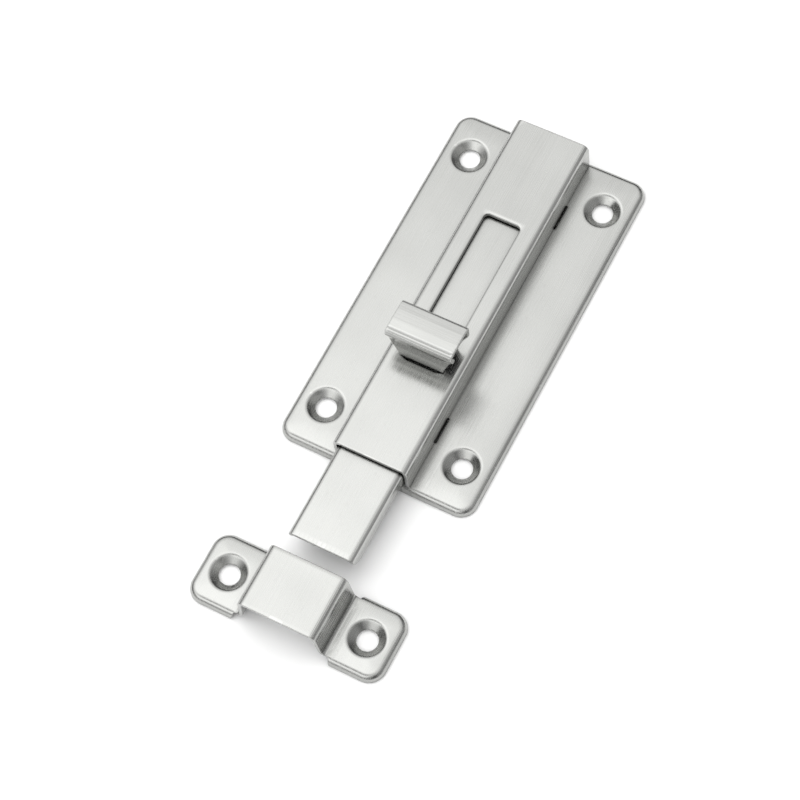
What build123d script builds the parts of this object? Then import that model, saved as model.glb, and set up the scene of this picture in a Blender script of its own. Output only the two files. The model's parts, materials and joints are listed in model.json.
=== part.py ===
from build123d import *
import math
import os

os.makedirs("parts", exist_ok=True)

# Flat-pattern barrel bolt in pressed stainless sheet, 100 mm plate, bolt thrown.
# Origin: centre of the four plate screws, on the back plane of the plate (z = 0).
# +X is the way the bolt is thrown, +Z points away from the door, +Y completes it.

# ---------------------------------------------------------------- dimensions
sheet = 1.0                 # plate, cover and keeper sheet thickness

plate_l = 100.0             # base plate length along X
plate_w = 53.0              # base plate width along Y
plate_h = 2.5               # overall height of the dished plate
plate_corner = 4.2          # outline corner radius
rim_draft = 7.0             # degrees of draft on the turned-down rim
rim_top_r = 1.2             # outer bend radius of the rim

pitch_x = 77.0              # plate screw pitch along X
pitch_y = 37.4              # plate and keeper screw pitch along Y
hole_r = 2.55               # clearance hole for a 4 mm countersunk screw
seat_z = 0.75               # height of the hole edge inside the dimple
dimple_r = 4.9              # radius where the dimple meets the flat
dimple_blend = 1.3          # soft blend between flat and dimple
dimple_foot_z = 0.1         # underside of the dimple

cover_x0 = -49.1            # back end of the bolt cover
cover_x1 = 49.1             # front end of the bolt cover
cover_w = 20.0              # outside width of the cover channel
cover_top = 11.2            # top face of the cover
cover_r = 1.7               # outside bend radius of the cover
slot_x0 = -21.6             # back end of the knob slot
slot_x1 = 22.5              # front end of the knob slot
slot_w = 9.8                # width of the knob slot
slot_r = 1.2                # corner radius of the knob slot
tab_x = 32.3                # centre of the crimped tabs along X
tab_l = 6.4                 # tab length
tab_slot_l = 7.2            # slot for a tab in the plate
tab_in = 5.2                # how far in the tab is folded (distance from centre line)

bolt_x0 = -22.9             # back end of the bolt
bolt_x1 = 73.8              # front end of the bolt
bolt_w = 17.7               # outside width of the bolt channel
bolt_top = 9.6              # top face of the bolt
bolt_foot = 5.1             # lower edge of the bolt walls
bolt_t = 1.0                # bolt sheet thickness
bolt_r = 1.7                # outside bend radius of the bolt
bolt_nose_r = 3.9           # rounding of the lower front corners

knob_t = 1.2                # knob sheet thickness
knob_w = 17.8               # width of the grip
knob_top = 22.7             # top of the grip
knob_foot = 11.55           # shoulder that rides just above the cover
neck_w = 11.8               # width of the lower grip walls
stem_w = 9.0                # width of the legs inside the slot
stem_front = 22.15          # front face of the front leg
stem_back = 14.3            # back face of the back leg

spring_w = 12.0             # friction spring width
spring_t = 0.4              # friction spring thickness

keeper_x = 86.9             # centre of the keeper along X
keeper_l = 18.8             # keeper flange length along X
keeper_w = 52.4             # keeper overall width along Y
keeper_corner = 4.4         # outline corner radius of the keeper
bridge_l = 16.4             # bridge strap length along X
bridge_top = 12.0           # top face of the bridge
bridge_half_top = 10.3      # half width of the bridge at the top bend, outside
bridge_half_foot = 11.2     # half width of the bridge at the foot, outside
keeper_notch_y = 12.9       # where the flange rim stops and the strap begins

screw_xy = [(sx * pitch_x / 2, sy * pitch_y / 2) for sx in (-1, 1) for sy in (-1, 1)]
keeper_xy = [(keeper_x, -pitch_y / 2), (keeper_x, pitch_y / 2)]

# ------------------------------------------------- shared dimple profile data
cone_dr = dimple_r - hole_r
cone_dz = plate_h - seat_z
cone_len = math.hypot(cone_dr, cone_dz)
cone_ang = math.atan2(cone_dz, cone_dr)
blend_t = dimple_blend * math.tan(cone_ang / 2)
on_cone = (dimple_r - blend_t * cone_dr / cone_len, plate_h - blend_t * cone_dz / cone_len)
on_flat = (dimple_r + blend_t, plate_h)
arc_c = (on_flat[0], plate_h - dimple_blend)
arc_mid = (arc_c[0] - dimple_blend * math.sin(cone_ang / 2),
           arc_c[1] + dimple_blend * math.cos(cone_ang / 2))


# ---------------------------------------------------------------- base plate
with BuildPart() as base_plate:
    with BuildSketch(Plane.XY):
        RectangleRounded(plate_l, plate_w, plate_corner)
    extrude(amount=plate_h, taper=rim_draft)
    fillet(base_plate.faces().sort_by(Axis.Z)[-1].edges(), rim_top_r)
    # the sheet is dished: open underneath, rim turned down to the back plane
    with BuildSketch(Plane.XY):
        RectangleRounded(plate_l - 2 * sheet, plate_w - 2 * sheet, plate_corner - sheet)
    extrude(amount=plate_h - sheet, taper=rim_draft, mode=Mode.SUBTRACT)
    # pressed seats for the four countersunk screws
    for hx, hy in screw_xy:
        with BuildSketch(Plane(origin=(hx, hy, 0), x_dir=(1, 0, 0), z_dir=(0, -1, 0))):
            with BuildLine():
                Polyline((0, dimple_foot_z), (3.7, dimple_foot_z), (5.6, plate_h - sheet - 0.12),
                         (6.4, plate_h - sheet), (6.4, plate_h - 0.3), (0, plate_h - 0.3),
                         (0, dimple_foot_z))
            make_face()
        revolve(axis=Axis((hx, hy, 0), (0, 0, 1)))
        with BuildSketch(Plane(origin=(hx, hy, 0), x_dir=(1, 0, 0), z_dir=(0, -1, 0))):
            with BuildLine():
                Polyline((0, -1), (hole_r, -1), (hole_r, seat_z), on_cone)
                ThreePointArc(on_cone, arc_mid, on_flat)
                Polyline(on_flat, (on_flat[0], plate_h + 1), (0, plate_h + 1), (0, -1))
            make_face()
        revolve(axis=Axis((hx, hy, 0), (0, 0, 1)), mode=Mode.SUBTRACT)
    # slots that take the cover tabs
    with BuildSketch(Plane.XY.offset(plate_h - sheet - 0.5)):
        with Locations(*[(sx * tab_x, sy * 9.7) for sx in (-1, 1) for sy in (-1, 1)]):
            RectangleRounded(tab_slot_l, 1.6, 0.3)
    extrude(amount=sheet + 1.0, mode=Mode.SUBTRACT)

base_plate.part.label = "base_plate"
export_step(base_plate.part, "parts/base_plate.step")


# --------------------------------------------------------------------- cover
cover_in = cover_w / 2 - sheet
with BuildPart() as cover:
    with BuildSketch(Plane.YZ.offset(cover_x0)) as cover_section:
        with BuildLine():
            Polyline((-cover_w / 2, plate_h), (-cover_w / 2, cover_top),
                     (cover_w / 2, cover_top), (cover_w / 2, plate_h), (-cover_w / 2, plate_h))
        make_face()
        fillet(cover_section.vertices().group_by(Axis.Y)[-1], cover_r)
    extrude(amount=cover_x1 - cover_x0)
    with BuildSketch(Plane.YZ.offset(cover_x0 - 1)) as cover_void:
        with BuildLine():
            Polyline((-cover_in, plate_h - 1), (-cover_in, cover_top - sheet),
                     (cover_in, cover_top - sheet), (cover_in, plate_h - 1),
                     (-cover_in, plate_h - 1))
        make_face()
        fillet(cover_void.vertices().group_by(Axis.Y)[-1], cover_r - sheet)
    extrude(amount=cover_x1 - cover_x0 + 2, mode=Mode.SUBTRACT)
    # long slot for the knob
    with BuildSketch(Plane.XY.offset(cover_top - sheet - 0.5)):
        with Locations(((slot_x0 + slot_x1) / 2, 0)):
            RectangleRounded(slot_x1 - slot_x0, slot_w, slot_r)
    extrude(amount=sheet + 1.0, mode=Mode.SUBTRACT)
    # the punched edge of the slot is slightly rolled on the outside
    slot_edges = (cover.edges().filter_by(lambda e: abs(e.center().Z - cover_top) < 1e-4
                  and abs(e.center().Y) < slot_w / 2 + 0.1
                  and slot_x0 - 0.1 < e.center().X < slot_x1 + 0.1))
    fillet(slot_edges, 0.3)
    # four tabs pass through the plate and are folded in beneath it
    for sx in (-1, 1):
        for sy in (-1, 1):
            with BuildSketch(Plane.YZ.offset(sx * tab_x - tab_l / 2)) as tab_section:
                with BuildLine():
                    Polyline((sy * cover_w / 2, plate_h + 0.2), (sy * cover_w / 2, 0.4),
                             (sy * tab_in, 0.4), (sy * tab_in, 1.4), (sy * cover_in, 1.4),
                             (sy * cover_in, plate_h + 0.2), (sy * cover_w / 2, plate_h + 0.2))
                make_face()
                fillet(tab_section.vertices().filter_by(
                    lambda v: abs(abs(v.Y) - cover_w / 2) < 1e-4 and abs(v.Z - 0.4) < 1e-4), 0.8)
            extrude(amount=tab_l)

cover.part.label = "cover"
export_step(cover.part, "parts/cover.step")


# -------------------------------------------------------------- sliding bolt
bolt_in = bolt_w / 2 - bolt_t
with BuildPart() as sliding_bolt:
    with BuildSketch(Plane.YZ.offset(bolt_x0)) as bolt_section:
        with BuildLine():
            Polyline((-bolt_w / 2, bolt_foot), (-bolt_w / 2, bolt_top), (bolt_w / 2, bolt_top),
                     (bolt_w / 2, bolt_foot), (-bolt_w / 2, bolt_foot))
        make_face()
        fillet(bolt_section.vertices().group_by(Axis.Y)[-1], bolt_r)
    extrude(amount=bolt_x1 - bolt_x0)
    with BuildSketch(Plane.YZ.offset(bolt_x0 - 1)) as bolt_void:
        with BuildLine():
            Polyline((-bolt_in, bolt_foot - 1), (-bolt_in, bolt_top - bolt_t),
                     (bolt_in, bolt_top - bolt_t), (bolt_in, bolt_foot - 1),
                     (-bolt_in, bolt_foot - 1))
        make_face()
        fillet(bolt_void.vertices().group_by(Axis.Y)[-1], bolt_r - bolt_t)
    extrude(amount=bolt_x1 - bolt_x0 + 2, mode=Mode.SUBTRACT)
    # lower front corners of both walls are rounded off
    with BuildSketch(Plane.XZ):
        with BuildLine():
            ThreePointArc((bolt_x1, bolt_top - bolt_t - 0.1),
                          (bolt_x1 - 1.25, bolt_foot + 1.25),
                          (bolt_x1 - bolt_nose_r, bolt_foot))
            Polyline((bolt_x1 - bolt_nose_r, bolt_foot), (bolt_x1 - bolt_nose_r, bolt_foot - 1),
                     (bolt_x1 + 1, bolt_foot - 1), (bolt_x1 + 1, bolt_top - bolt_t - 0.1),
                     (bolt_x1, bolt_top - bolt_t - 0.1))
        make_face()
    extrude(amount=bolt_w, both=True, mode=Mode.SUBTRACT)
    # two slots in the top hold the legs of the knob
    with BuildSketch(Plane.XY.offset(bolt_top - bolt_t - 0.5)):
        with Locations((stem_front - knob_t / 2, 0), (stem_back + knob_t / 2, 0)):
            Rectangle(knob_t + 0.1, stem_w + 0.1)
    extrude(amount=bolt_t + 1.0, mode=Mode.SUBTRACT)

sliding_bolt.part.label = "sliding_bolt"
export_step(sliding_bolt.part, "parts/sliding_bolt.step")


# ---------------------------------------------------------------------- knob
# Folded grip: a front wall with a rolled bead, a flat top, a hooked back wall
# and two legs that pass through the slot and are folded over under the bolt.
leg_low = bolt_top - bolt_t - spring_t - knob_t - 0.05
with BuildPart() as knob:
    # side profile of the folded sheet, as a band drawn in the XZ plane
    with BuildSketch(Plane.XZ) as knob_band:
        with BuildLine():
            Line((stem_front, knob_foot), (21.6, 14.6))
            ThreePointArc((21.6, 14.6), (21.42, 17.2), (21.95, 19.7))
            ThreePointArc((21.95, 19.7), (22.62, 21.75), (21.05, knob_top))
            Line((21.05, knob_top), (14.2, knob_top))
            ThreePointArc((14.2, knob_top), (13.22, 22.28), (12.85, 21.3))
            Line((12.85, 21.3), (13.0, 18.4))
            Line((13.0, 18.4), (stem_back, 16.9))
            Line((stem_back, 16.9), (stem_back, knob_foot))
            Line((stem_back, knob_foot), (stem_back + knob_t, knob_foot))
            Line((stem_back + knob_t, knob_foot), (stem_back + knob_t, 17.35))
            Line((stem_back + knob_t, 17.35), (14.2, 18.85))
            Line((14.2, 18.85), (14.06, 21.2))
            ThreePointArc((14.06, 21.2), (14.12, 21.42), (14.35, 21.5))
            Line((14.35, 21.5), (20.75, 21.5))
            ThreePointArc((20.75, 21.5), (21.2, 21.15), (20.85, 19.95))
            ThreePointArc((20.85, 19.95), (20.24, 17.2), (20.42, 14.6))
            Line((20.42, 14.6), (stem_front - knob_t, knob_foot))
            Line((stem_front - knob_t, knob_foot), (stem_front, knob_foot))
        make_face()
    extrude(amount=knob_w / 2, both=True)
    # outline of both walls: full width at the top, stepping in to the neck above the cover
    with BuildSketch(Plane.YZ.offset(10)) as wall_outline:
        for sy in (-1, 1):
            with BuildLine():
                Polyline((sy * knob_w / 2, 18.5), (sy * (knob_w / 2 + 2), 18.5),
                         (sy * (knob_w / 2 + 2), knob_foot - 1), (sy * neck_w / 2, knob_foot - 1),
                         (sy * neck_w / 2, 12.4), (sy * (neck_w / 2 + 0.75), 14.2),
                         (sy * (neck_w / 2 + 1.2), 16.8), (sy * (knob_w / 2 - 0.6), 17.8),
                         (sy * knob_w / 2, 18.5))
            make_face()
    extrude(amount=15.0, mode=Mode.SUBTRACT)
    # two legs through the slot and the bolt
    with BuildSketch(Plane.XY.offset(knob_foot + 0.2)):
        with Locations((stem_front - knob_t / 2, 0), (stem_back + knob_t / 2, 0)):
            Rectangle(knob_t, stem_w)
    extrude(amount=-(knob_foot + 0.2 - leg_low))
    # leg ends folded flat against the underside of the bolt, towards each other
    with BuildSketch(Plane.XY.offset(leg_low)):
        with Locations((stem_front - 1.6, 0), (stem_back + 1.6, 0)):
            Rectangle(3.2, stem_w)
    extrude(amount=knob_t)

knob.part.label = "knob"
export_step(knob.part, "parts/knob.step")


# ----------------------------------------------------------- friction spring
# Bowed leaf clamped under the top of the bolt by the folded legs of the knob.
# Its two wings curve down and rub on the base plate, so the bolt stays put.
spring_mid = (stem_front + stem_back) / 2
spring_top = bolt_top - bolt_t - 0.02
wing_root = 6.2             # half length of the clamped flat
wing_end = 19.6             # where each wing touches the plate
wing_tip = 21.4             # turned-up end of each wing
rub_z = plate_h + 0.08      # lowest point of a wing
with BuildPart() as friction_spring:
    with BuildSketch(Plane.XY.offset(spring_top - spring_t)):
        with Locations((spring_mid, 0)):
            Rectangle(2 * wing_root, spring_w)
    extrude(amount=spring_t)
    for sx in (-1, 1):
        with BuildSketch(Plane.XZ) as wing:
            with BuildLine():
                p0 = (spring_mid + sx * (wing_root - 0.2), spring_top)
                p1 = (spring_mid + sx * wing_root, spring_top)
                p2 = (spring_mid + sx * (wing_end - 1.0), rub_z + spring_t + 0.25)
                p3 = (spring_mid + sx * wing_tip, rub_z + spring_t + 0.45)
                q3 = (spring_mid + sx * wing_tip, rub_z + 0.45)
                q2 = (spring_mid + sx * (wing_end - 1.0), rub_z + 0.25)
                q1 = (spring_mid + sx * wing_root, spring_top - spring_t)
                q0 = (spring_mid + sx * (wing_root - 0.2), spring_top - spring_t)
                m_up = (spring_mid + sx * (wing_root + 7.2), spring_top - 2.2)
                m_dn = (m_up[0] - sx * 0.13, m_up[1] - spring_t)
                Line(p0, p1)
                ThreePointArc(p1, m_up, p2)
                ThreePointArc(p2, (spring_mid + sx * wing_end, rub_z + spring_t), p3)
                Line(p3, q3)
                ThreePointArc(q3, (spring_mid + sx * wing_end, rub_z), q2)
                ThreePointArc(q2, m_dn, q1)
                Line(q1, q0)
                Line(q0, p0)
            make_face()
        extrude(amount=spring_w / 2, both=True)
    # slots that the knob legs pass through
    with BuildSketch(Plane.XY.offset(spring_top - 1.0)):
        with Locations((stem_front - knob_t / 2, 0), (stem_back + knob_t / 2, 0)):
            Rectangle(knob_t + 0.1, stem_w + 0.1)
    extrude(amount=2.0, mode=Mode.SUBTRACT)

friction_spring.part.label = "friction_spring"
export_step(friction_spring.part, "parts/friction_spring.step")


# -------------------------------------------------------------------- keeper
with BuildPart() as keeper:
    # two flanges pressed as one dished blank
    with BuildSketch(Plane.XY):
        with Locations((keeper_x, 0)):
            RectangleRounded(keeper_l, keeper_w, keeper_corner)
    extrude(amount=plate_h, taper=rim_draft)
    fillet(keeper.faces().sort_by(Axis.Z)[-1].edges(), rim_top_r)
    with BuildSketch(Plane.XY):
        with Locations((keeper_x, 0)):
            RectangleRounded(keeper_l - 2 * sheet, keeper_w - 2 * sheet, keeper_corner - sheet)
    extrude(amount=plate_h - sheet, taper=rim_draft, mode=Mode.SUBTRACT)
    # the middle of the blank is cleared for the raised strap
    with BuildSketch(Plane.XY.offset(-1)):
        with BuildLine():
            Polyline((keeper_x - keeper_l, -keeper_notch_y), (keeper_x - bridge_l / 2 - 0.75, -keeper_notch_y),
                     (keeper_x - bridge_l / 2, -keeper_notch_y + 0.75),
                     (keeper_x + bridge_l / 2, -keeper_notch_y + 0.75),
                     (keeper_x + bridge_l / 2 + 0.75, -keeper_notch_y), (keeper_x + keeper_l, -keeper_notch_y),
                     (keeper_x + keeper_l, keeper_notch_y), (keeper_x + bridge_l / 2 + 0.75, keeper_notch_y),
                     (keeper_x + bridge_l / 2, keeper_notch_y - 0.75),
                     (keeper_x - bridge_l / 2, keeper_notch_y - 0.75),
                     (keeper_x - bridge_l / 2 - 0.75, keeper_notch_y), (keeper_x - keeper_l, keeper_notch_y),
                     (keeper_x - keeper_l, -keeper_notch_y))
        make_face()
    extrude(amount=plate_h + 2, mode=Mode.SUBTRACT)
    # raised strap: flange, foot bend, slanted riser, top bend, flat top
    with BuildSketch(Plane.YZ.offset(keeper_x - bridge_l / 2)) as strap:
        with BuildLine():
            outer = [(-keeper_notch_y - 0.2, plate_h), (-bridge_half_foot, plate_h),
                     (-bridge_half_top, bridge_top), (bridge_half_top, bridge_top),
                     (bridge_half_foot, plate_h), (keeper_notch_y + 0.2, plate_h)]
            inner = [(keeper_notch_y + 0.2, plate_h - sheet), (bridge_half_foot - 0.94, plate_h - sheet),
                     (bridge_half_top - 1.06, bridge_top - sheet),
                     (-bridge_half_top + 1.06, bridge_top - sheet),
                     (-bridge_half_foot + 0.94, plate_h - sheet), (-keeper_notch_y - 0.2, plate_h - sheet)]
            Polyline(*outer, *inner, outer[0])
        make_face()
        strap_v = strap.vertices()
        fillet(strap_v.filter_by(lambda v: abs(v.Z - bridge_top) < 1e-4), 1.9)
    extrude(amount=bridge_l)
    foot_edges = keeper.edges().filter_by(Axis.X).filter_by(
        lambda e: abs(e.center().Z - plate_h) < 1e-4 and abs(abs(e.center().Y) - bridge_half_foot) < 1e-3)
    fillet(foot_edges, 1.0)
    inner_top = keeper.edges().filter_by(Axis.X).filter_by(
        lambda e: abs(e.center().Z - (bridge_top - sheet)) < 1e-4)
    fillet(inner_top, 0.9)
    # pressed seats for the two countersunk screws
    for hx, hy in keeper_xy:
        with BuildSketch(Plane(origin=(hx, hy, 0), x_dir=(1, 0, 0), z_dir=(0, -1, 0))):
            with BuildLine():
                Polyline((0, dimple_foot_z), (3.7, dimple_foot_z), (5.4, plate_h - sheet - 0.12),
                         (5.7, plate_h - sheet), (5.7, plate_h - 0.3), (0, plate_h - 0.3),
                         (0, dimple_foot_z))
            make_face()
        revolve(axis=Axis((hx, hy, 0), (0, 0, 1)))
        with BuildSketch(Plane(origin=(hx, hy, 0), x_dir=(1, 0, 0), z_dir=(0, -1, 0))):
            with BuildLine():
                Polyline((0, -1), (hole_r, -1), (hole_r, seat_z), on_cone)
                ThreePointArc(on_cone, arc_mid, on_flat)
                Polyline(on_flat, (on_flat[0], plate_h + 1), (0, plate_h + 1), (0, -1))
            make_face()
        revolve(axis=Axis((hx, hy, 0), (0, 0, 1)), mode=Mode.SUBTRACT)

keeper.part.label = "keeper"
export_step(keeper.part, "parts/keeper.step")

for piece in (base_plate, cover, sliding_bolt, knob, friction_spring, keeper):
    box = piece.part.bounding_box()
    print(piece.part.label, len(piece.part.solids()), round(piece.part.volume, 1),
          [round(v, 2) for v in (box.min.X, box.min.Y, box.min.Z, box.max.X, box.max.Y, box.max.Z)])
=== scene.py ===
import json
import math
import bpy
import bmesh
from mathutils import Matrix, Vector
from mathutils.geometry import delaunay_2d_cdt


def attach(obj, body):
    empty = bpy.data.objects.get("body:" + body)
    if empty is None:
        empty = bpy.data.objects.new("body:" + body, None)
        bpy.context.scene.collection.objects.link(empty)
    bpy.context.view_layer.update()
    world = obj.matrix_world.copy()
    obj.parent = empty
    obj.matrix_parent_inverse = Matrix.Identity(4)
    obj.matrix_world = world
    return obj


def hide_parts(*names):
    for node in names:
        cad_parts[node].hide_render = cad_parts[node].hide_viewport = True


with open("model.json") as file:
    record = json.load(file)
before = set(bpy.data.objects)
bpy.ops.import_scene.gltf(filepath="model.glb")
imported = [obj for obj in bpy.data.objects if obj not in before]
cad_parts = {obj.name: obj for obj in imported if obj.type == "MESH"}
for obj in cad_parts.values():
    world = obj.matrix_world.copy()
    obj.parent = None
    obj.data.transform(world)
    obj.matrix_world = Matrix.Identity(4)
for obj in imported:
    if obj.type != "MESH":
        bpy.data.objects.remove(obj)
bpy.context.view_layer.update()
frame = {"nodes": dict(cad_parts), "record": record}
nodes = frame["nodes"]
MM = 0.001
sc = bpy.context.scene


# ------------------------------------------------------------------ materials
def steel(name, tint, rough=0.30, grain_axis="X", grain=1.0, edge_wear_highlight=0.5, aniso=0.55, dark=1.0):
    """Brushed stainless: fine directional grain in colour, roughness and bump, plus edge wear with a painted highlight
    on convex edges and painted shade in recesses.
    """
    m = bpy.data.materials.new(name)
    m.use_nodes = True
    nt = m.node_tree
    nt.nodes.clear()
    N = nt.nodes.new
    L = nt.links.new
    out = N("ShaderNodeOutputMaterial")
    b = N("ShaderNodeBsdfPrincipled")
    L(b.outputs["BSDF"], out.inputs["Surface"])
    b.inputs["Metallic"].default_value = 1.0
    b.inputs["IOR"].default_value = 2.4
    b.inputs["Anisotropic"].default_value = aniso
    tc = N("ShaderNodeTexCoord")

    def mapped(sx, sy, sz):
        mp = N("ShaderNodeMapping")
        mp.inputs["Scale"].default_value = (sx, sy, sz)
        L(tc.outputs["Object"], mp.inputs["Vector"])
        return mp

    def noise(vec, scale, detail, rough_n=0.6):
        n = N("ShaderNodeTexNoise")
        n.inputs["Scale"].default_value = scale
        n.inputs["Detail"].default_value = detail
        n.inputs["Roughness"].default_value = rough_n
        L(vec.outputs["Vector"], n.inputs["Vector"])
        return n

    def ramp(src, p0, c0, p1, c1):
        r = N("ShaderNodeMapRange")
        r.inputs["From Min"].default_value = p0
        r.inputs["From Max"].default_value = p1
        r.inputs["To Min"].default_value = c0
        r.inputs["To Max"].default_value = c1
        L(src, r.inputs["Value"])
        return r

    along = {"X": (40.0, 5200.0, 5200.0), "Y": (5200.0, 40.0, 5200.0)}[grain_axis]
    long = {"X": (14.0, 1500.0, 1500.0), "Y": (1500.0, 14.0, 1500.0)}[grain_axis]
    fine = noise(mapped(*along), 1.0, 3.0, 0.65)
    coarse = noise(mapped(*long), 1.0, 2.0, 0.5)
    cloud = noise(mapped(45.0, 45.0, 45.0), 1.0, 3.0, 0.5)
    # pits and small marks
    pits = noise(mapped(900.0, 900.0, 900.0), 1.0, 2.0, 0.7)

    # streak value: mix of the two grain sizes
    streak = N("ShaderNodeMath"); streak.operation = "MULTIPLY_ADD"
    L(fine.outputs["Fac"], streak.inputs[0]); streak.inputs[1].default_value = 0.7
    part = N("ShaderNodeMath"); part.operation = "MULTIPLY"
    L(coarse.outputs["Fac"], part.inputs[0]); part.inputs[1].default_value = 0.3
    L(part.outputs[0], streak.inputs[2])

    base = N("ShaderNodeMix"); base.data_type = "RGBA"
    base.inputs["A"].default_value = (tint[0] * 0.955 * dark, tint[1] * 0.955 * dark, tint[2] * 0.955 * dark, 1)
    base.inputs["B"].default_value = (min(tint[0] * 1.045, 1) * dark, min(tint[1] * 1.045, 1) * dark, min(tint[2] * 1.045, 1) * dark, 1)
    st = ramp(streak.outputs[0], 0.38, 0.0, 0.62, 1.0)
    L(st.outputs["Result"], base.inputs["Factor"])

    # slow clouding of the sheet
    tone = N("ShaderNodeMix"); tone.data_type = "RGBA"; tone.blend_type = "MULTIPLY"
    cl = ramp(cloud.outputs["Fac"], 0.35, 0.93, 0.65, 1.0)
    comb = N("ShaderNodeCombineColor")
    for k in ("Red", "Green", "Blue"):
        L(cl.outputs["Result"], comb.inputs[k])
    tone.inputs["Factor"].default_value = 1.0
    L(base.outputs["Result"], tone.inputs["A"])
    L(comb.outputs["Color"], tone.inputs["B"])

    # worn edges with a painted highlight: where the surface turns outward the colour is made brighter and smoother,
    # partly real edge wear, partly painted highlight
    geo = N("ShaderNodeNewGeometry")
    edge = ramp(geo.outputs["Pointiness"], 0.515, 0.0, 0.60, edge_wear_highlight)
    worn_edge_highlight = N("ShaderNodeMix"); worn_edge_highlight.data_type = "RGBA"
    L(edge.outputs["Result"], worn_edge_highlight.inputs["Factor"])
    L(tone.outputs["Result"], worn_edge_highlight.inputs["A"])
    worn_edge_highlight.inputs["B"].default_value = (0.60, 0.60, 0.59, 1)

    # painted shade: an ambient-occlusion mask blends the colour toward near-black where two faces meet and in the
    # screw seats
    ao = N("ShaderNodeAmbientOcclusion")
    ao.samples = 6
    ao.inputs["Distance"].default_value = 0.004
    close = ramp(ao.outputs["AO"], 0.30, RECESS_SHADE, 0.86, 0.0)
    recess_shade_mix = N("ShaderNodeMix"); recess_shade_mix.data_type = "RGBA"
    L(close.outputs["Result"], recess_shade_mix.inputs["Factor"])
    L(worn_edge_highlight.outputs["Result"], recess_shade_mix.inputs["A"])
    recess_shade_mix.inputs["B"].default_value = (0.07, 0.07, 0.066, 1)
    L(recess_shade_mix.outputs["Result"], b.inputs["Base Color"])

    # roughness
    r1 = ramp(streak.outputs[0], 0.35, rough - 0.06, 0.65, rough + 0.07)
    r2 = ramp(pits.outputs["Fac"], 0.62, 0.0, 0.75, 0.05)
    add = N("ShaderNodeMath"); add.operation = "ADD"
    L(r1.outputs["Result"], add.inputs[0]); L(r2.outputs["Result"], add.inputs[1])
    sub = N("ShaderNodeMath"); sub.operation = "SUBTRACT"
    L(add.outputs[0], sub.inputs[0])
    w2 = N("ShaderNodeMath"); w2.operation = "MULTIPLY"
    L(edge.outputs["Result"], w2.inputs[0]); w2.inputs[1].default_value = 0.10
    L(w2.outputs[0], sub.inputs[1])
    L(sub.outputs[0], b.inputs["Roughness"])

    # grain bump
    bump = N("ShaderNodeBump")
    bump.inputs["Strength"].default_value = 0.035 * grain
    bump.inputs["Distance"].default_value = 0.00006
    L(streak.outputs[0], bump.inputs["Height"])
    bump2 = N("ShaderNodeBump")
    bump2.inputs["Strength"].default_value = 0.05
    bump2.inputs["Distance"].default_value = 0.0002
    L(cloud.outputs["Fac"], bump2.inputs["Height"])
    L(bump.outputs["Normal"], bump2.inputs["Normal"])
    L(bump2.outputs["Normal"], b.inputs["Normal"])

    tan = N("ShaderNodeTangent")
    tan.direction_type = "RADIAL"
    tan.axis = "Y" if grain_axis == "Y" else "X"
    L(tan.outputs["Tangent"], b.inputs["Tangent"])
    return m


# strength of the painted shade in recesses
RECESS_SHADE = 0.62
PALE = (0.458, 0.461, 0.449)
mats = {
    "plate_steel": steel("plate_steel", PALE, 0.25),
    "cover_steel": steel("cover_steel", PALE, 0.24),
    "bolt_steel": steel("bolt_steel", (0.466, 0.469, 0.457), 0.25),
    "knob_steel": steel("knob_steel", PALE, 0.22, grain_axis="Y"),
    "spring_steel": steel("spring_steel", (0.42, 0.42, 0.43), 0.34),
    "keeper_steel": steel("keeper_steel", PALE, 0.25),
}
slot_of = {"base_plate": "plate_steel", "cover": "cover_steel", "sliding_bolt": "bolt_steel",
           "knob": "knob_steel", "friction_spring": "spring_steel", "keeper": "keeper_steel"}
# --------------------------------------------------------------- sheet pieces
# Each piece is a flat blank, a 2-D outline with holes, that a function folds and presses into
# shape. Both faces and the sheared edges, with their small break, come from the same blank.
body_of = {n: b for b, ns in frame["record"]["behaviour"]["bodies"].items() for n in ns}


def arc2(cx, cy, r, a0, a1, n):
    return [(cx + r * math.cos(math.radians(a0 + (a1 - a0) * i / n)),
             cy + r * math.sin(math.radians(a0 + (a1 - a0) * i / n))) for i in range(n + 1)]


def round_poly(points, radii, seg=8, close=True):
    """A polygon or path with its corners turned into arcs. radii is one value or a list."""
    n = len(points)
    rad = radii if isinstance(radii, (list, tuple)) else [radii] * n
    out = []
    for i, p in enumerate(points):
        if not close and i in (0, n - 1):
            out.append(tuple(p))
            continue
        a, b = points[i - 1], points[(i + 1) % n]
        u = Vector((a[0] - p[0], a[1] - p[1]))
        v = Vector((b[0] - p[0], b[1] - p[1]))
        lu, lv = u.length, v.length
        u.normalize(); v.normalize()
        ang = u.angle(v)
        r = rad[i]
        if r < 1e-6 or ang > math.pi - 1e-3:
            out.append(tuple(p))
            continue
        t = min(r / math.tan(ang / 2), 0.49 * lu, 0.49 * lv)
        r = t * math.tan(ang / 2)
        bis = (u + v).normalized()
        c = Vector(p) + bis * (r / math.sin(ang / 2))
        s0 = Vector(p) + u * t - c
        s1 = Vector(p) + v * t - c
        turn = s0.angle_signed(s1)
        k = max(2, int(seg * abs(turn) / (math.pi / 2)) + 1)
        for j in range(k + 1):
            w = -turn * j / k
            out.append((c.x + s0.x * math.cos(w) - s0.y * math.sin(w),
                        c.y + s0.x * math.sin(w) + s0.y * math.cos(w)))
    return out


def resample(loop, step, close=True):
    out = []
    n = len(loop)
    for i in range(n if close else n - 1):
        a, b = Vector(loop[i]), Vector(loop[(i + 1) % n])
        d = (b - a).length
        k = max(1, int(math.ceil(d / step - 1e-6)))
        for j in range(k):
            out.append(tuple(a + (b - a) * (j / k)))
    if not close:
        out.append(tuple(loop[-1]))
    clean = [out[0]]
    for p in out[1:]:
        if (Vector(p) - Vector(clean[-1])).length > 1e-4:
            clean.append(p)
    if close and (Vector(clean[0]) - Vector(clean[-1])).length < 1e-4:
        clean.pop()
    return clean


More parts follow.
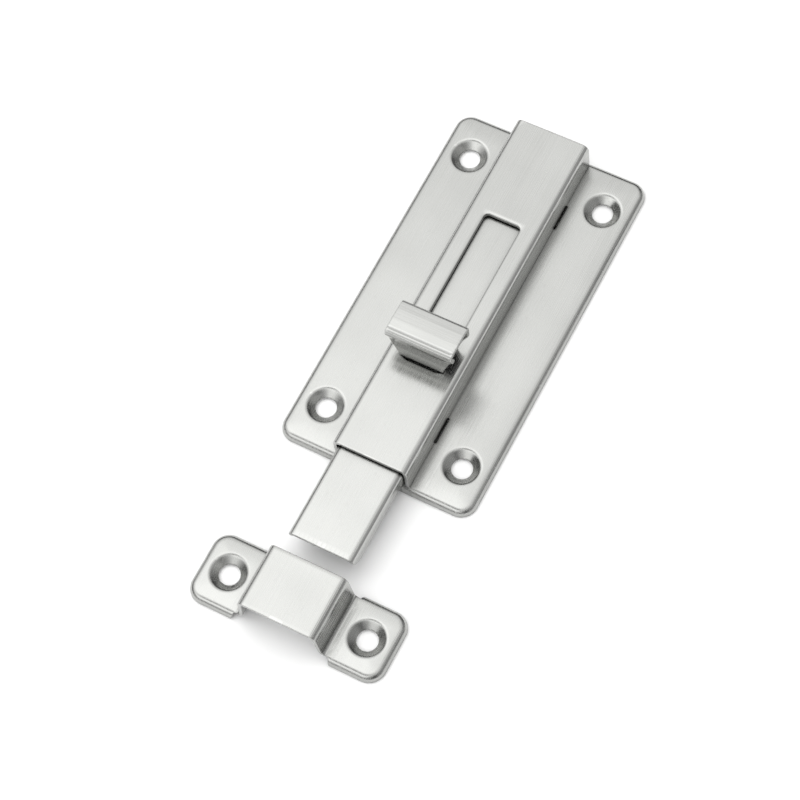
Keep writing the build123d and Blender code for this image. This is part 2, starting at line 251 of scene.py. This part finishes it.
def area2(loop):
    return 0.5 * sum(loop[i][0] * loop[(i + 1) % len(loop)][1] - loop[(i + 1) % len(loop)][0] * loop[i][1]
                     for i in range(len(loop)))


def normals2(loop, outward_sign):
    out = []
    n = len(loop)
    for i in range(n):
        a, p, b = Vector(loop[i - 1]), Vector(loop[i]), Vector(loop[(i + 1) % n])
        e1, e2 = (p - a).normalized(), (b - p).normalized()
        n1, n2 = Vector((e1.y, -e1.x)), Vector((e2.y, -e2.x))
        m = n1 + n2
        m = m.normalized() if m.length > 1e-6 else n1
        k = min(1.0 / max(m.dot(n1), 0.5), 1.6)
        out.append(m * outward_sign * k)
    return out


class Path:
    """The outer face of a folded sheet in section: point and outward normal by arc length."""

    def __init__(self, pts, radii, side, seg=10):
        self.p = [Vector(q) for q in round_poly(pts, radii, seg, close=False)]
        self.s = [0.0]
        for a, b in zip(self.p, self.p[1:]):
            self.s.append(self.s[-1] + (b - a).length)
        seg_n = []
        for a, b in zip(self.p, self.p[1:]):
            e = (b - a).normalized()
            seg_n.append(Vector((e.y, -e.x)) * side)
        self.n = [seg_n[0]] + [(a + b).normalized() for a, b in zip(seg_n, seg_n[1:])] + [seg_n[-1]]
        self.total = self.s[-1]

    def at(self, s):
        if s <= 0:
            e = (self.p[1] - self.p[0]).normalized()
            return self.p[0] + e * s, self.n[0]
        if s >= self.total:
            e = (self.p[-1] - self.p[-2]).normalized()
            return self.p[-1] + e * (s - self.total), self.n[-1]
        lo, hi = 0, len(self.s) - 1
        while hi - lo > 1:
            mid = (lo + hi) // 2
            if self.s[mid] <= s:
                lo = mid
            else:
                hi = mid
        f = (s - self.s[lo]) / (self.s[hi] - self.s[lo])
        return self.p[lo].lerp(self.p[hi], f), (self.n[lo] * (1 - f) + self.n[hi] * f).normalized()

    def find(self, test):
        """First arc length at which test(point) holds."""
        k = 4000
        for i in range(k + 1):
            s = self.total * i / k
            if test(self.at(s)[0]):
                return s
        return self.total

    def knots(self, lo, hi, flat):
        """Arc lengths to mesh at: every bend point, and the flats divided at most this far apart."""
        ks = sorted(set([lo, hi] + [s for s in self.s if lo < s < hi]))
        out = [ks[0]]
        for a, b in zip(ks, ks[1:]):
            k = max(1, int(math.ceil((b - a) / flat)))
            out += [a + (b - a) * (j + 1) / k for j in range(k)]
        return out


def inside(pt, loops):
    x, y = pt
    c = False
    for lp in loops:
        j = len(lp) - 1
        for i in range(len(lp)):
            xi, yi = lp[i]
            xj, yj = lp[j]
            if (yi > y) != (yj > y) and x < (xj - xi) * (y - yi) / (yj - yi) + xi:
                c = not c
            j = i
    return c


def sheet_mesh(name, loops, pts, surf, thick, edge=0.16, gap=0.1, back=None):
    """loops: outer outline then holes. pts: inner points of the blank. surf(u, v) gives the outer
    face's point and normal. Returns a closed mesh with broken edges."""
    sets = []
    for k, lp in enumerate(loops):
        ccw = area2(lp) > 0
        sign = 1.0 if ccw else -1.0
        if k > 0:
            sign = -sign
        nn = normals2(lp, sign)
        sets.append((lp, nn, [(p[0] - edge * q.x, p[1] - edge * q.y) for p, q in zip(lp, nn)]))
    inset = [s[2] for s in sets]
    verts, edges = [], []
    for lp in inset:
        b = len(verts)
        verts += [Vector(p) for p in lp]
        edges += [(b + i, b + (i + 1) % len(lp)) for i in range(len(lp))]
    n_loop = len(verts)
    # keep inner points clear of the outline
    cell = {}
    for p in verts:
        cell.setdefault((int(p.x // gap), int(p.y // gap)), []).append(p)
    for q in pts:
        cx, cy = int(q[0] // gap), int(q[1] // gap)
        near = False
        for dx in (-1, 0, 1):
            for dy in (-1, 0, 1):
                for p in cell.get((cx + dx, cy + dy), ()):
                    if (p.x - q[0]) ** 2 + (p.y - q[1]) ** 2 < gap * gap:
                        near = True
        if not near and inside(q, inset):
            v = Vector(q)
            verts.append(v)
            cell.setdefault((cx, cy), []).append(v)
    co, _, fs, ov, _, _ = delaunay_2d_cdt(verts, edges, [], 0, 1e-7)
    good, thin = [], []
    for f in fs:
        p0, p1, p2 = (co[i] for i in f)
        area = 0.5 * ((p1 - p0).cross(p2 - p0))
        c = (p0 + p1 + p2) / 3
        if abs(area) < 1e-6:
            thin.append(list(f))
        elif inside((c.x, c.y), inset):
            good.append(list(f) if area > 0 else list(reversed(f)))
    used = {}
    for f in good:
        for i in range(3):
            used[(f[i - 1], f[i])] = used.get((f[i - 1], f[i]), 0) + 1
    # slivers on straight edges are kept only where they close the mesh
    def longest(f):
        return max(((co[f[i - 1]] - co[f[i]]).length, f[i - 1], f[i]) for i in range(3))
    for f in sorted(thin, key=lambda q: -longest(q)[0]):
        _, a, b = longest(f)
        third = [i for i in f if i not in (a, b)][0]
        if (a, b) in used and (b, a) not in used:
            a, b = b, a
        if (b, a) in used and (a, b) not in used:
            g = [a, b, third]
            good.append(g)
            for i in range(3):
                used[(g[i - 1], g[i])] = used.get((g[i - 1], g[i]), 0) + 1
    tris = good
    orig = {}
    for i, o in enumerate(ov):
        for k in o:
            orig.setdefault(k, i)
    bm = bmesh.new()
    top, bot = [], []
    for p in co:
        P, Nn = surf(p.x, p.y)
        if back:
            Nn = back(p.x, p.y)
        top.append(bm.verts.new(P * MM))
        bot.append(bm.verts.new((P - Nn * thick) * MM))
    for f in tris:
        try:
            bm.faces.new([top[i] for i in f])
            bm.faces.new([bot[i] for i in reversed(f)])
        except ValueError:
            pass
    base = 0
    for lp, nn, ins in sets:
        rows = []
        steps = 3
        ring = [orig[base + i] for i in range(len(lp))]
        rows.append([top[i] for i in ring])
        frames = []
        for p, q, r0 in zip(lp, nn, ins):
            P0, N0 = surf(*r0)
            P1, N1 = surf(p[0] - 0.02 * q.x, p[1] - 0.02 * q.y)
            if back:
                N0 = back(*r0)
            T = (P1 - P0)
            T = T.normalized() if T.length > 1e-9 else Vector((1, 0, 0))
            frames.append((P0, N0, T))
        def row(da, db):
            return [bm.verts.new((P0 + T * da - N0 * db) * MM) for P0, N0, T in frames]
        for j in range(1, steps + 1):
            a = math.pi / 2 * j / steps
            rows.append(row(edge * math.sin(a), edge * (1 - math.cos(a))))
        for j in range(0, steps):
            a = math.pi / 2 * (1 - j / steps)
            rows.append(row(edge * math.sin(a), thick - edge * (1 - math.cos(a))))
        rows.append([bot[i] for i in ring])
        m = len(lp)
        ahead = sum((ring[i], ring[(i + 1) % m]) in used for i in range(m)) > m / 2
        for ra, rb in zip(rows, rows[1:]):
            for i in range(m):
                quad = [ra[i], rb[i], rb[(i + 1) % m], ra[(i + 1) % m]]
                if not ahead:
                    quad.reverse()
                try:
                    bm.faces.new(quad)
                except ValueError:
                    pass
        base += m
    bm.normal_update()
    if sum(f.normal.dot(surf(co[t[0]].x, co[t[0]].y)[1]) for f, t in zip(list(bm.faces)[0:2 * len(tris):2], tris)) < 0:
        bmesh.ops.reverse_faces(bm, faces=bm.faces)
    me = bpy.data.meshes.new(name)
    bm.to_mesh(me)
    bm.free()
    for p in me.polygons:
        p.use_smooth = True
    return me


def piece(name, me, node):
    ob = bpy.data.objects.new(name, me)
    sc.collection.objects.link(ob)
    me.materials.clear()
    me.materials.append(mats[slot_of[node]])
    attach(ob, body_of[node])
    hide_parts(node)
    return ob


def grid(us, vs):
    return [(u, v) for u in us for v in vs]


def steps(a, b, d):
    k = max(1, int(math.ceil((b - a) / d)))
    return [a + (b - a) * i / k for i in range(k + 1)]


# ---- pressed rim and screw seats, shared by the plate and the keeper
SHEET = 1.0
TOP_Z = 2.5
RIM_R = 1.9
DRAFT = math.radians(7.0)
RIM_X = RIM_R * math.cos(DRAFT)                       # how far the bend reaches out
RIM_ARC = RIM_R * (math.pi / 2 - DRAFT)
PILLOW, PILLOW_W = 0.17, 4.0                         # the sheet sags a little towards its rim
RIM_WALL = (TOP_Z - PILLOW - RIM_R + RIM_R * math.sin(DRAFT) - 0.14) / math.cos(DRAFT)
RIM_LEN = RIM_ARC + RIM_WALL
RIM_OUT = RIM_X + RIM_WALL * math.sin(DRAFT)          # full reach of rim past the flat


def rim(l):
    """Reach, drop, normal's outward part, normal's upward part at unrolled length l past the flat."""
    if l <= RIM_ARC:
        a = l / RIM_R
        return RIM_R * math.sin(a), RIM_R * (1 - math.cos(a)), math.sin(a), math.cos(a)
    k = l - RIM_ARC
    a = math.pi / 2 - DRAFT
    return (RIM_R * math.sin(a) + k * math.cos(a), RIM_R * (1 - math.cos(a)) + k * math.sin(a),
            math.sin(a), math.cos(a))


def seat(r):
    """Height drop and slope of a pressed screw seat at radius r from its centre."""
    cone = (TOP_Z - 0.75) / (4.72 - 2.55)
    r1, r2 = 4.3, 5.14
    if r >= r2:
        return 0.0, 0.0
    if r >= r1:
        t = (r2 - r) / (r2 - r1)
        c = cone * (r2 - r1)
        drop = c * 0.5 * t * t
        return drop, cone * t
    return cone * (0.5 * (r2 - r1)) + cone * (r1 - r), cone


SEAT_RINGS = [2.75, 2.95, 3.2, 3.5, 3.8, 4.05, 4.3, 4.42, 4.54, 4.66, 4.78, 4.9, 5.02, 5.14, 5.35, 5.7, 6.2, 6.8]


def seat_points(cx, cy, n=84):
    out = []
    for k, r in enumerate(SEAT_RINGS):
        for i in range(n):
            a = 2 * math.pi * (i + 0.5 * (k % 2)) / n
            out.append((cx + r * math.cos(a), cy + r * math.sin(a)))
    return out


def circle(cx, cy, r, n=72):
    return [(cx + r * math.cos(2 * math.pi * i / n), cy + r * math.sin(2 * math.pi * i / n)) for i in range(n)]


def rounded_rect(hx, hy, r, cx=0.0, cy=0.0, seg=14):
    return ([(cx + a, cy + b) for a, b in arc2(hx - r, hy - r, r, 0, 90, seg)]
            + [(cx + a, cy + b) for a, b in arc2(-hx + r, hy - r, r, 90, 180, seg)]
            + [(cx + a, cy + b) for a, b in arc2(-hx + r, -hy + r, r, 180, 270, seg)]
            + [(cx + a, cy + b) for a, b in arc2(hx - r, -hy + r, r, 270, 360, seg)])


def rr_dist(x, y, hx, hy, r):
    """Signed distance past a rounded rectangle and the outward direction there."""
    qx, qy = abs(x) - (hx - r), abs(y) - (hy - r)
    sx, sy = (1 if x >= 0 else -1), (1 if y >= 0 else -1)
    if qx > 0 and qy > 0:
        d = math.hypot(qx, qy)
        return d - r, (sx * qx / d, sy * qy / d)
    if qx > qy:
        return qx - r, (sx, 0.0)
    return qy - r, (0.0, sy)


def pressed(x, y, hx, hy, r, holes, cx=0.0, mask=True):
    """Outer face of a dished sheet: flat inside the rounded rectangle, rim past it, screw seats."""
    d, (nx, ny) = rr_dist(x - cx, y, hx, hy, r)
    if mask and d > 0:
        reach, drop, no, nu = rim(d)
        return (Vector((x + nx * (reach - d), y + ny * (reach - d), TOP_Z - PILLOW - drop)),
                Vector((nx * no, ny * no, nu)))
    t = min(max((d + PILLOW_W) / PILLOW_W, 0.0), 1.0)
    sag, tilt = PILLOW * t * t, 2 * PILLOW * t / PILLOW_W
    for px, py in holes:
        q = math.hypot(x - px, y - py)
        if q < 6.0:
            drop, slope = seat(q)
            ux, uy = (x - px) / q, (y - py) / q
            nrm = Vector((nx * tilt - ux * slope, ny * tilt - uy * slope, 1.0)).normalized()
            return Vector((x, y, TOP_Z - sag - drop)), nrm
    return Vector((x, y, TOP_Z - sag)), Vector((nx * tilt, ny * tilt, 1.0)).normalized()


# ---- base plate
PX, PY, PR = 50.0 - RIM_OUT, 26.5 - RIM_OUT, 4.2 - RIM_OUT
screws = [(sx * 38.5, sy * 18.7) for sx in (-1, 1) for sy in (-1, 1)]
tab_slots = [(sx * 32.3, sy * 9.7) for sx in (-1, 1) for sy in (-1, 1)]
p_loops = [resample(rounded_rect(PX + RIM_LEN, PY + RIM_LEN, PR + RIM_LEN, seg=20), 0.8)]
p_loops += [circle(x, y, 2.55) for x, y in screws]
p_loops += [resample(rounded_rect(3.6, 0.64, 0.3, x, y, seg=4), 0.5) for x, y in tab_slots]
p_pts = [q for q in grid(steps(-PX + 0.5, PX - 0.5, 1.6), steps(-PY + 0.5, PY - 0.5, 1.6))
         if all(math.hypot(q[0] - x, q[1] - y) > 7.3 for x, y in screws)]
for x, y in screws:
    p_pts += seat_points(x, y)
for x, y in tab_slots:
    p_pts += resample(rounded_rect(4.1, 1.3, 0.7, x, y, seg=4), 0.5)
for l in [-0.25, 0.0] + [RIM_ARC * i / 8 for i in range(1, 9)] + [RIM_ARC + RIM_WALL * 0.5]:
    p_pts += resample(rounded_rect(PX + l, PY + l, PR + l, seg=20), 0.8)
me = sheet_mesh("plate_pressing", p_loops, p_pts,
                lambda u, v: pressed(u, v, PX, PY, PR, screws), 1.0, edge=0.14)
plate = piece("plate_pressing", me, "base_plate")

# ---- cover: one blank with four tabs, folded to a channel
cov = Path([(-5.2, 0.4), (-10, 0.4), (-10, 11.2), (10, 11.2), (10, 0.4), (5.2, 0.4)],
           [0, 1.3, 1.75, 1.75, 1.3, 0], -1, seg=12)
v_lo = cov.find(lambda p: p.x < -9.9 and p.y > 2.5)
v_hi = cov.total - v_lo
mid = cov.total / 2
CX0, CX1 = -49.1, 49.1
tabs = [(-32.3 - 3.2, -32.3 + 3.2), (32.3 - 3.2, 32.3 + 3.2)]
outl = [(CX0, v_lo)]
rad = [0.35]
for a, b in tabs:
    outl += [(a, v_lo), (a, 0.0), (b, 0.0), (b, v_lo)]
    rad += [0.4, 0.8, 0.8, 0.4]
outl += [(CX1, v_lo), (CX1, v_hi)]
rad += [0.35, 0.35]
for a, b in reversed(tabs):
    outl += [(b, v_hi), (b, cov.total), (a, cov.total), (a, v_hi)]
    rad += [0.4, 0.8, 0.8, 0.4]
outl += [(CX0, v_hi)]
rad += [0.35]
c_loops = [resample(round_poly(outl, rad, seg=5), 0.55)]
c_loops.append(resample([(p[0], p[1]) for p in rounded_rect((22.5 + 21.6) / 2, 4.9, 1.2, (22.5 - 21.6) / 2, mid, seg=10)], 0.45))
c_pts = grid(steps(CX0 + 0.4, CX1 - 0.4, 1.3), cov.knots(0.3, cov.total - 0.3, 1.2))
c_pts += resample(rounded_rect((22.5 + 21.6) / 2 + 0.55, 5.45, 1.7, (22.5 - 21.6) / 2, mid, seg=10), 0.45)


def cover_surf(u, v):
    p, n = cov.at(v)
    z = p.y
    # the punched slot edge is rolled over very slightly
    d, _ = rr_dist(u - 0.45, v - mid, 22.05, 4.9, 1.2)
    if 0 <= d < 0.6:
        z -= 0.16 * (1 - d / 0.6) ** 2
    elif d < 0:
        z -= 0.16
    return Vector((u, p.x, z)), Vector((0, n.x, n.y))


me = sheet_mesh("cover_channel", c_loops, c_pts, cover_surf, 1.0, edge=0.17)
cover = piece("cover_channel", me, "cover")

# ---- sliding bolt
bp = Path([(-8.85, 5.1), (-8.85, 9.6), (8.85, 9.6), (8.85, 5.1)], [0, 1.7, 1.7, 0], -1, seg=12)
BX0, BX1 = -22.9, 73.8
nose = [(BX1 - 3.9, 0.0)]
nr = arc2(BX1 - 3.9, 3.55, 1.0, -90, 0, 9)
nose = [(BX1 - 3.9 + (p[0] - (BX1 - 3.9)) * 3.9, 3.55 + (p[1] - 3.55) * 3.55) for p in nr]
b_out = [(BX0, 0.0)] + nose
b_out += [(p[0], bp.total - p[1]) for p in reversed(nose)]
b_out += [(BX0, bp.total)]
b_loops = [resample(b_out, 0.5)]
bm_ = bp.total / 2
for cx in (22.15 - 0.6, 14.3 + 0.6):
    b_loops.append(resample(rounded_rect(0.65, 4.55, 0.15, cx, bm_, seg=3), 0.5))
b_pts = grid(steps(BX0 + 0.4, BX1 - 0.4, 1.3), bp.knots(0.25, bp.total - 0.25, 1.2))


def bolt_surf(u, v):
    p, n = bp.at(v)
    return Vector((u, p.x, p.y)), Vector((0, n.x, n.y))


me = sheet_mesh("bolt_channel", b_loops, b_pts, bolt_surf, 1.0, edge=0.2)
bolt = piece("bolt_channel", me, "sliding_bolt")

# ---- knob: one strip, folded over twice, its legs turned in under the bolt
kn = Path([(18.9, 6.97), (22.12, 6.97), (22.12, 11.5), (21.6, 14.4), (21.38, 17.0), (21.75, 18.9),
           (22.45, 20.3), (22.73, 21.4), (22.3, 22.28), (21.5, 22.56), (21.17, 22.36), (20.9, 22.65),
           (18.6, 22.68), (15.6, 22.60), (12.87, 22.38), (12.87, 20.4),
           (13.02, 18.4), (14.32, 16.9), (14.32, 6.97), (17.5, 6.97)],
          [0, 0.9, 3.0, 6.0, 4.5, 2.6, 1.3, 0.8, 0.5, 0.15, 0.1, 0.15, 6.0, 6.0, 1.2, 2.0, 1.2, 1.2, 0.9, 0],
          1, seg=12)
sF = lambda z: kn.find(lambda p: p.x > 20.5 and p.y >= z)
sB = lambda z: kn.total - Path([tuple(p) for p in reversed(kn.p)], 0, -1).find(lambda p: p.x < 15 and p.y >= z)
prof = [(6.97, 4.48), (11.55, 4.48), (11.56, 5.9), (12.4, 5.9), (14.2, 6.65), (16.3, 7.35), (17.4, 8.1), (18.5, 8.87)]
full = [(6.97, 4.48), (11.55, 4.48), (11.56, 5.85), (12.1, 6.15), (13.6, 7.2), (15.4, 8.2), (16.6, 8.7), (17.6, 8.87)]
back_half = [(w, sB(z)) for z, w in reversed(prof[1:])] + [(4.48, kn.total)]
right = [(4.48, 0.0)] + [(w, sF(z)) for z, w in prof[1:]] + back_half
left = [(4.48, 0.0)] + [(w, sF(z)) for z, w in full[1:]] + back_half
outl = right + [(-u, v) for u, v in reversed(left)]
rb = [0.6, 0.9, 0.7, 1.5, 1.0, 0.35, 0.12, 0.5]
rr = [0.5, 0.12, 0.35, 1.0, 1.5, 0.7, 0.9, 0.6] + rb + list(reversed(rb)) + [2.0, 2.5, 3.0, 1.5, 0.6, 0.35, 0.12, 0.5]
k_loops = [resample(round_poly(outl, rr, seg=6), 0.3)]
k_pts = grid(steps(-8.6, 8.6, 0.6), kn.knots(0.45, kn.total - 0.45, 0.5))


def knob_surf(u, v):
    p, n = kn.at(v)
    return Vector((p.x, u, p.y)), Vector((n.x, 0, n.y))


def knob_back(u, v):
    """The inner face turns more gently than the outer one, so tight bends do not cross inside."""
    n = Vector((0, 0))
    for k in range(-4, 5):
        n = n + kn.at(min(max(v + 0.25 * k, 0), kn.total))[1]
    n.normalize()
    return Vector((n.x, 0, n.y))


me = sheet_mesh("knob_grip", k_loops, k_pts, knob_surf, 1.16, edge=0.2, gap=0.1, back=knob_back)
knob = piece("knob_grip", me, "knob")

# ---- friction spring, inside
sp = Path([(-3.1, 3.4), (-1.3, 2.62 + 0.4), (1.5, 3.5), (7.0, 6.4), (11.2, 8.2), (13.0, 8.56), (23.4, 8.56),
           (25.2, 8.2), (29.4, 6.4), (34.9, 3.5), (37.7, 2.62 + 0.4), (39.5, 3.4)],
          [0, 2.0, 6, 14, 8, 3, 3, 8, 14, 6, 2.0, 0], -1, seg=10)
s_loops = [resample(round_poly([(-5.98, 0), (5.98, 0), (5.98, sp.total), (-5.98, sp.total)], 1.2, seg=5), 0.6)]
for cx in (22.15 - 0.6, 14.3 + 0.6):
    s0 = sp.find(lambda p: p.x >= cx)
    s_loops.append(resample(rounded_rect(4.6, 0.66, 0.15, 0.0, s0, seg=3), 0.5))
s_pts = grid(steps(-5.6, 5.6, 1.1), sp.knots(0.2, sp.total - 0.2, 1.0))
me = sheet_mesh("spring_leaf", s_loops, s_pts,
                lambda u, v: (Vector((sp.at(v)[0].x, u, sp.at(v)[0].y)), Vector((sp.at(v)[1].x, 0, sp.at(v)[1].y))),
                0.38, edge=0.09)
spring = piece("spring_leaf", me, "friction_spring")

# ---- keeper: two pressed flanges joined by the raised strap
KX = 86.9
KHX, KHY, KR = 9.4 - RIM_OUT, 26.2 - RIM_OUT, 4.4 - RIM_OUT
kp = Path([(-26.2, 2.5), (-11.2, 2.5), (-10.3, 12.0), (10.3, 12.0), (11.2, 2.5), (26.2, 2.5)],
          [0, 1.0, 1.9, 1.9, 1.0, 0], -1, seg=12)
kmid = kp.total / 2
YJ = 12.35                                   # past this the sheet is flange, inside it is strap
sJ = kmid - kp.find(lambda p: p.x >= -YJ)    # arc length from the middle to the flange


def to_y(v):
    """Flange y for an unrolled coordinate past the strap."""
    return (abs(v) - sJ + YJ) * (1 if v > 0 else -1)


def keeper_surf(u, v):
    if abs(v) >= sJ:
        y = to_y(v)
        ny = 12.9
        use = abs(y) > ny - 0.6
        P, n = pressed(KX + u, y, KHX, KHY, KR, [(KX, -18.7), (KX, 18.7)], cx=KX, mask=True)
        return P, n
    p, n = kp.at(v + kmid)
    P = Vector((KX + u, p.x, p.y))
    n3 = Vector((0, n.x, n.y))
    d = abs(u) - KHX
    if d > 0:                                # the strap's sides carry on from the rim's bend
        f = max(0.0, 1 - (sJ - abs(v)) / 1.2)
        if f > 0:
            reach, drop, no, nu = rim(d)
            P = P - Vector((0, 0, drop * f)) + Vector(((reach - d) * f * (1 if u > 0 else -1), 0, 0))
            n3 = Vector(((1 if u > 0 else -1) * no * f, n3.y * (1 - f * (1 - nu)), n3.z)).normalized()
    return P, n3


LIM = KHY + RIM_LEN - YJ + sJ                # end of the blank
W1, W0 = KHX + RIM_LEN, 8.2
vn = sJ + 0.55                               # where the rim starts
half = [(W0, -vn + 0.75 - 0.55), (W0 + 0.35, -vn + 0.15), (W1, -vn - 0.25)]
cr = KR + RIM_LEN
quarter = arc2(W1 - cr, -(LIM - cr), cr, 0, -90, 22)
side = half + quarter
k_out = [(u, v) for u, v in side] + [(-u, v) for u, v in reversed(side)]
k_out += [(-u, -v) for u, v in side] + [(u, -v) for u, v in reversed(side)]
kp_loops = [resample(k_out, 0.5)]
kp_loops += [[(x - KX, (abs(y) - YJ + sJ) * (1 if y > 0 else -1)) for x, y in circle(KX, sy * 18.7, 2.55)] for sy in (-1, 1)]
k2 = [q for q in grid(steps(-8.1, 8.1, 0.9), [s - kmid for s in kp.knots(kmid - sJ, kmid + sJ, 0.9)])]
for sy in (-1, 1):
    k2 += [(x - KX, (abs(y) - YJ + sJ) * sy) for x, y in seat_points(KX, sy * 18.7) if abs(y) > YJ + 0.1]
    fl = [(u, sy * v) for u in steps(-KHX + 0.2, KHX - 0.2, 0.9) for v in steps(sJ + 0.2, LIM - RIM_LEN - 0.2, 0.9)]
    k2 += [q for q in fl if math.hypot(q[0], abs(to_y(q[1])) - 18.7) > 7.2]
    for l in [-0.25, 0.0] + [RIM_ARC * i / 8 for i in range(1, 9)] + [RIM_ARC + RIM_WALL * 0.5]:
        ring = resample(rounded_rect(KHX + l, KHY + l, KR + l, seg=16), 0.5)
        k2 += [(a, (abs(b) - YJ + sJ) * sy) for a, b in ring if b * sy > YJ + 0.2]
me = sheet_mesh("keeper_strap", kp_loops, k2, keeper_surf, 1.0, edge=0.16)
keeper = piece("keeper_strap", me, "keeper")


# ---------------------------------------------------------------------- floor
bpy.ops.mesh.primitive_plane_add(size=6.0, location=(0, 0, -0.00002))
floor = bpy.context.object
floor.name = "floor"
fm = bpy.data.materials.new("floor_white")
fm.use_nodes = True
fb = fm.node_tree.nodes["Principled BSDF"]
fb.inputs["Base Color"].default_value = (0.93, 0.93, 0.93, 1)
fb.inputs["Roughness"].default_value = 0.9
fb.inputs["Specular IOR Level"].default_value = 0.1
floor.data.materials.append(fm)


# ---------------------------------------------------------------------- light
def studio_world():
    """A soft tent: one broad overhead light leaning to -Y, fading to a dim horizon."""
    world = bpy.data.worlds.new("studio")
    sc.world = world
    world.use_nodes = True
    nt = world.node_tree
    bg = nt.nodes["Background"]
    N, L = nt.nodes.new, nt.links.new
    tc = N("ShaderNodeTexCoord")
    sp = N("ShaderNodeSeparateXYZ")
    L(tc.outputs["Generated"], sp.inputs["Vector"])

    def m(op, x, y):
        n = N("ShaderNodeMath")
        n.operation = op
        for i, v in enumerate((x, y)):
            if isinstance(v, (int, float)):
                n.inputs[i].default_value = v
            else:
                L(v, n.inputs[i])
        return n.outputs[0]

    def lobe(centre, inner, outer, strength):
        c = Vector(centre).normalized()
        d = N("ShaderNodeVectorMath")
        d.operation = "DOT_PRODUCT"
        L(tc.outputs["Generated"], d.inputs[0])
        d.inputs[1].default_value = c
        r = N("ShaderNodeMapRange")
        r.interpolation_type = "SMOOTHSTEP"
        r.inputs["From Min"].default_value = math.cos(math.radians(outer))
        r.inputs["From Max"].default_value = math.cos(math.radians(inner))
        r.inputs["To Min"].default_value = 0.0
        r.inputs["To Max"].default_value = strength
        L(d.outputs["Value"], r.inputs["Value"])
        return r.outputs["Result"]

    total = BASE
    for part in LOBES:
        total = m("ADD", lobe(*part), total)
    r = N("ShaderNodeMapRange")
    r.interpolation_type = "SMOOTHSTEP"
    r.inputs["From Min"].default_value = 0.10
    r.inputs["From Max"].default_value = 0.62
    r.inputs["To Min"].default_value = HORIZON
    r.inputs["To Max"].default_value = 1.0
    L(sp.outputs["Z"], r.inputs["Value"])
    total = m("MAXIMUM", m("MULTIPLY", total, r.outputs["Result"]), 0.02)
    for part in SIDES:
        total = m("ADD", lobe(*part), total)
    L(total, bg.inputs["Strength"])
    bg.inputs["Color"].default_value = (1.0, 1.0, 0.995, 1)


BASE, HORIZON = 0.12, 0.06
LOBES = [((0.0, -0.42, 0.90), 36.0, 80.0, 1.20),
         ((0.03, -0.34, 0.94), 11.0, 31.0, 0.92),
         ((0.80, -0.20, 0.56), 8.0, 28.0, 0.55),
         ((0.42, -0.20, 0.885), 5.0, 22.0, -1.20)]
SIDES = [((0.92, -0.10, 0.22), 18.0, 60.0, 0.45),
         ((-0.30, 0.92, 0.25), 18.0, 58.0, 0.36)]
studio_world()

# a wide diffuse fill that lifts the floor to white without a highlight in the metal
fill_d = bpy.data.lights.new("fill", "SUN")
fill_d.energy = 0.9
fill_d.angle = math.radians(150)
fill = bpy.data.objects.new("fill", fill_d)
fill.visible_glossy = False
sc.collection.objects.link(fill)

sc.view_settings.view_transform = "Standard"
sc.view_settings.look = "None"
sc.view_settings.exposure = 0.0

# --------------------------------------------------------------------- camera
rv = Vector((1.5361919, 2.4958572, -0.6101606))
th = rv.length
R = Matrix.Rotation(th, 3, rv.normalized())
t = Vector((16.30935, -22.17161, math.exp(6.429096))) * MM
cam_d = bpy.data.cameras.new("camera")
cam = bpy.data.objects.new("camera", cam_d)
sc.collection.objects.link(cam)
loc = -(R.transposed() @ t)
rot = Matrix((R[0], -R[1], -R[2])).transposed()
cam.matrix_world = Matrix.Translation(loc) @ rot.to_4x4()
cam_d.sensor_width = 36.0
cam_d.lens = 2500.0 / 800.0 * 36.0
cam_d.shift_x = -0.5 / 800.0
cam_d.shift_y = 0.5 / 800.0
cam_d.clip_start = 0.01
cam_d.clip_end = 20.0
sc.camera = cam
